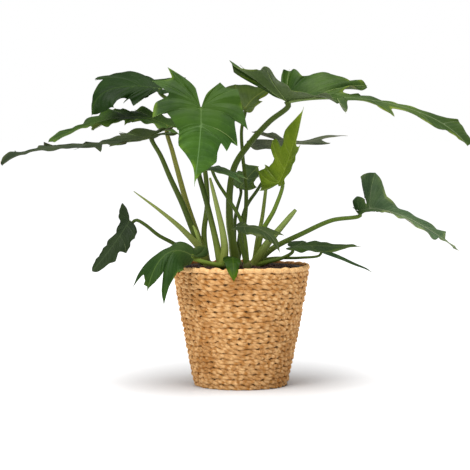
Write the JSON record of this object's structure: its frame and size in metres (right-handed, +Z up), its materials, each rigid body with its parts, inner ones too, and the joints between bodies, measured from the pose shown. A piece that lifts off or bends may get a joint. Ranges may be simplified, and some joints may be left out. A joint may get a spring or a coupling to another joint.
{
  "type": "potted philodendron lacerum",
  "caption": "Potted aroid house plant with arrow-shaped, deeply lobed leaves on long stalks, rooted in a plastic grow pot inside a coiled seagrass basket.",
  "frame": {"origin": "centre of the basket's flat base", "axes": "+Z up out of the basket, +X along the plant's widest spread, to the right seen from the front, -Y towards the front"},
  "size_m": [0.7005, 0.3256, 0.4935],
  "materials": {
    "rope": "twisted dry seagrass rope, golden tan, matt",
    "grow_pot": "thin black moulded plastic",
    "soil": "dark brown crumbly potting soil",
    "stalk": "smooth fleshy green stalk, paler at its foot",
    "leaf": "leathery deep green leaf with pale veins and a soft gloss",
    "young_leaf": "thin lime green young leaf with a soft gloss"
  },
  "bodies": {
    "root": {"basket": "rope", "grow_pot": "grow_pot", "soil": "soil", "shoot_left": "stalk", "shoot_front": "stalk", "shoot_middle": "stalk", "shoot_right": "stalk", "shoot_inner": "stalk", "blade_front": "leaf", "blade_right_long": "leaf", "blade_left_low": "leaf", "blade_left_mid": "leaf", "blade_left_top": "leaf", "blade_left_hang": "leaf", "blade_rim_left": "leaf", "blade_right_low": "leaf", "blade_young": "young_leaf", "blade_back_mid": "leaf", "blade_top_mid": "leaf", "blade_back_low": "leaf", "blade_thin": "leaf", "blade_right_flat": "leaf", "blade_right_thin": "leaf", "blade_small": "leaf", "blade_rim_front": "leaf"}
  },
  "joints": []
}
